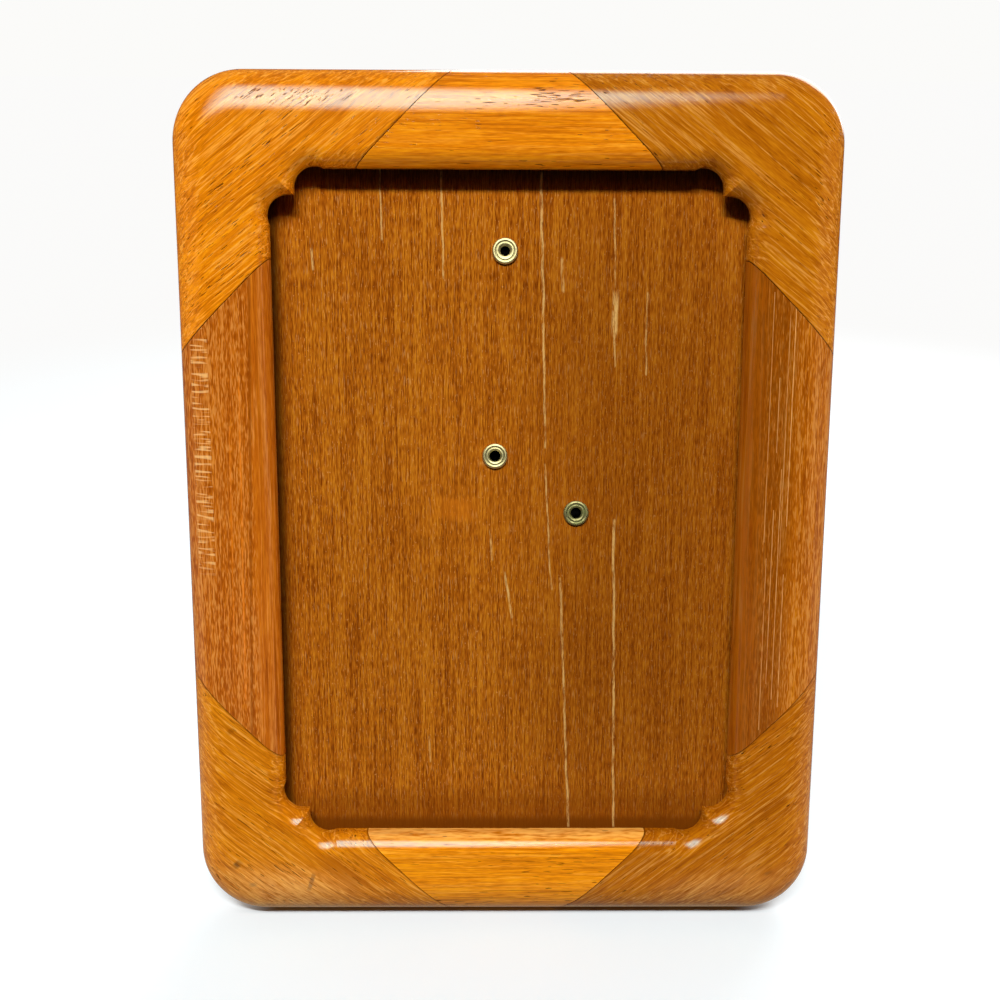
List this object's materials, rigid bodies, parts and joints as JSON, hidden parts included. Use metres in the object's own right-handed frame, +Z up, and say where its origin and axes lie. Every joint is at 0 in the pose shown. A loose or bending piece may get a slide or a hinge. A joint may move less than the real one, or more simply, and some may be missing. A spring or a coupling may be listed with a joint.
{
  "type": "picture frame",
  "caption": "Leaning wooden picture frame with rounded rails, corner blocks, a stepped opening, a plywood back and a hinged diagonal easel leg.",
  "frame": {"origin": "bottom centre of the whole object as it stands on a table", "axes": "+Z up, picture faces -Y, +X to the right as seen from the front"},
  "size_m": [0.159, 0.0676, 0.2069],
  "materials": {
    "rail_wood": "gloss varnish",
    "corner_block_wood": "gloss varnish",
    "panel_wood": "stained plywood",
    "leg_wood": "stained plywood",
    "hinge_metal": "plated, worn",
    "rivet_brass": "tarnished",
    "hanger_metal": "plated, worn",
    "button_metal": "plated, worn",
    "screw_metal": "plated"
  },
  "bodies": {
    "frame": {"top_rail": "rail_wood", "bottom_rail": "rail_wood", "left_rail": "rail_wood", "right_rail": "rail_wood", "top_left_corner_block": "corner_block_wood", "top_right_corner_block": "corner_block_wood", "bottom_left_corner_block": "corner_block_wood", "bottom_right_corner_block": "corner_block_wood", "back_panel": "panel_wood", "hinge_panel_leaf": "hinge_metal", "hinge_pin": "hinge_metal", "hanger_strap": "hanger_metal", "hinge_rivet_left": "rivet_brass", "hinge_rivet_right": "rivet_brass", "hanger_rivet": "rivet_brass", "turn_button_screw_left_lower": "screw_metal", "turn_button_screw_left_upper": "screw_metal", "turn_button_screw_right_lower": "screw_metal", "turn_button_screw_right_upper": "screw_metal"},
    "easel_leg": {"easel_leg": "leg_wood", "hinge_leg_leaf": "hinge_metal", "leg_rivet_left": "rivet_brass", "leg_rivet_right": "rivet_brass"},
    "hanger_ring": {"hanger_ring": "hanger_metal"},
    "turn_button_left_lower": {"turn_button_left_lower": "button_metal"},
    "turn_button_left_upper": {"turn_button_left_upper": "button_metal"},
    "turn_button_right_lower": {"turn_button_right_lower": "button_metal"},
    "turn_button_right_upper": {"turn_button_right_upper": "button_metal"}
  },
  "joints": [
    {"name": "easel_leg_hinge", "type": "hinge", "parent": "frame", "child": "easel_leg", "pos_m": [0.00263, 0.00093, 0.10367], "axis": [0.8171, -0.1198, -0.5638], "range_deg": [-24, 0]},
    {"name": "hanger_ring_swing", "type": "hinge", "parent": "frame", "child": "hanger_ring", "pos_m": [-0.0009, 0.01568, 0.17351], "axis": [1, 0, 0], "range_deg": [-12, 168]},
    {"name": "turn_button_left_lower_turn", "type": "hinge", "parent": "frame", "child": "turn_button_left_lower", "pos_m": [-0.0704, -0.00767, 0.07256], "axis": [0, 0.9781, -0.2079], "continuous": true},
    {"name": "turn_button_left_upper_turn", "type": "hinge", "parent": "frame", "child": "turn_button_left_upper", "pos_m": [-0.0704, 0.00522, 0.1332], "axis": [0, 0.9781, -0.2079], "continuous": true},
    {"name": "turn_button_right_lower_turn", "type": "hinge", "parent": "frame", "child": "turn_button_right_lower", "pos_m": [0.0704, -0.00767, 0.07256], "axis": [0, 0.9781, -0.2079], "continuous": true},
    {"name": "turn_button_right_upper_turn", "type": "hinge", "parent": "frame", "child": "turn_button_right_upper", "pos_m": [0.0704, 0.00522, 0.1332], "axis": [0, 0.9781, -0.2079], "continuous": true}
  ]
}
